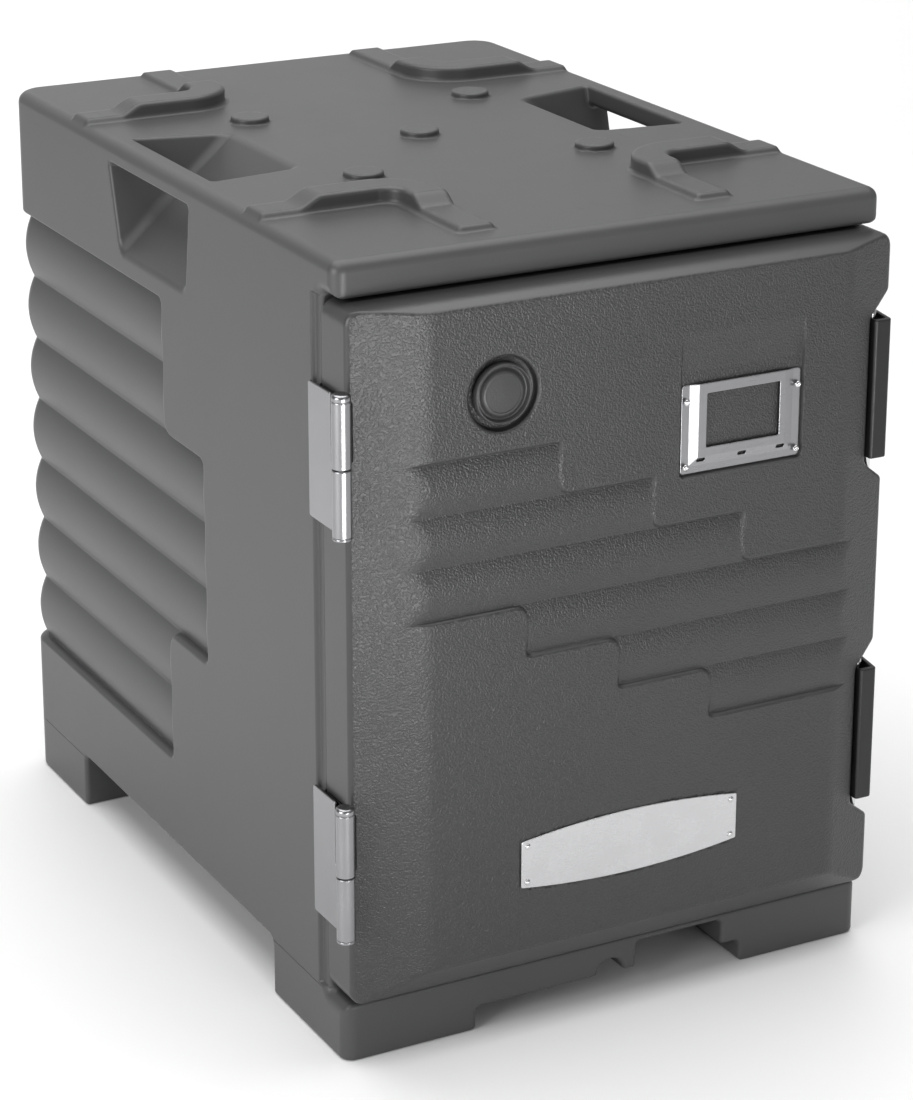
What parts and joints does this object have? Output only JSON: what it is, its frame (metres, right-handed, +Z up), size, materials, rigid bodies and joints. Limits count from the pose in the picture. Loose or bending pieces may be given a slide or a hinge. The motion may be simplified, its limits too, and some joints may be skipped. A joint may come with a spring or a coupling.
{
  "type": "insulated food carrier",
  "caption": "Front-loading insulated food carrier: ribbed double-wall body with hand pockets, runners inside, hinged door, side latches, vent cap and stacking lugs.",
  "frame": {"origin": "middle of the footprint, on the floor under the feet", "axes": "+X towards the latch side (the right, seen from the front), +Y towards the back, +Z up; the door faces -Y"},
  "size_m": [0.4839, 0.653, 0.6248],
  "materials": {
    "shell_plastic": "satin",
    "insulation_foam": "matte",
    "plug_plastic": "matte",
    "seal_rubber": "matte",
    "latch_nylon": "satin",
    "plate_steel": "satin",
    "frame_steel": "satin",
    "hinge_steel": "polished",
    "fastener_steel": "polished"
  },
  "bodies": {
    "body": {"body_foam": "insulation_foam", "body_foam_plug": "plug_plastic", "body_shell": "shell_plastic", "lower_hinge_body_leaf": "hinge_steel", "lower_hinge_body_screw_high": "fastener_steel", "lower_hinge_body_screw_low": "fastener_steel", "lower_hinge_pin": "fastener_steel", "lower_latch_bracket": "latch_nylon", "lower_latch_pivot_pin": "fastener_steel", "lower_latch_screw_high": "fastener_steel", "lower_latch_screw_low": "fastener_steel", "upper_hinge_body_leaf": "hinge_steel", "upper_hinge_body_screw_high": "fastener_steel", "upper_hinge_body_screw_low": "fastener_steel", "upper_hinge_pin": "fastener_steel", "upper_latch_bracket": "latch_nylon", "upper_latch_pivot_pin": "fastener_steel", "upper_latch_screw_high": "fastener_steel", "upper_latch_screw_low": "fastener_steel"},
    "door": {"door_foam": "insulation_foam", "door_foam_plug": "plug_plastic", "door_gasket": "seal_rubber", "door_shell": "shell_plastic", "label_frame": "frame_steel", "label_screw_left_high": "fastener_steel", "label_screw_left_low": "fastener_steel", "label_screw_right_high": "fastener_steel", "label_screw_right_low": "fastener_steel", "lower_hinge_door_leaf": "hinge_steel", "lower_hinge_door_screw_high": "fastener_steel", "lower_hinge_door_screw_low": "fastener_steel", "lower_latch_keeper_pin": "fastener_steel", "nameplate": "plate_steel", "nameplate_rivet_left_high": "fastener_steel", "nameplate_rivet_left_low": "fastener_steel", "nameplate_rivet_right_high": "fastener_steel", "nameplate_rivet_right_low": "fastener_steel", "upper_hinge_door_leaf": "hinge_steel", "upper_hinge_door_screw_high": "fastener_steel", "upper_hinge_door_screw_low": "fastener_steel", "upper_latch_keeper_pin": "fastener_steel", "vent_seal": "seal_rubber"},
    "upper_latch": {"upper_latch_lever": "latch_nylon"},
    "lower_latch": {"lower_latch_lever": "latch_nylon"},
    "vent": {"vent_cap": "shell_plastic"}
  },
  "joints": [
    {"name": "door_swing", "type": "hinge", "parent": "body", "child": "door", "pos_m": [-0.235, -0.3195, 0.3184], "axis": [0, 0, -1], "range_deg": [0, 240]},
    {"name": "upper_latch_turn", "type": "hinge", "parent": "body", "child": "upper_latch", "pos_m": [0.237, -0.226, 0.4635], "axis": [0, 0, 1], "range_deg": [0, 110]},
    {"name": "lower_latch_turn", "type": "hinge", "parent": "body", "child": "lower_latch", "pos_m": [0.237, -0.226, 0.1825], "axis": [0, 0, 1], "range_deg": [0, 110]},
    {"name": "vent_turn", "type": "hinge", "parent": "door", "child": "vent", "pos_m": [-0.1105, -0.318, 0.51], "axis": [0, -1, 0], "range_deg": [0, 90]}
  ]
}
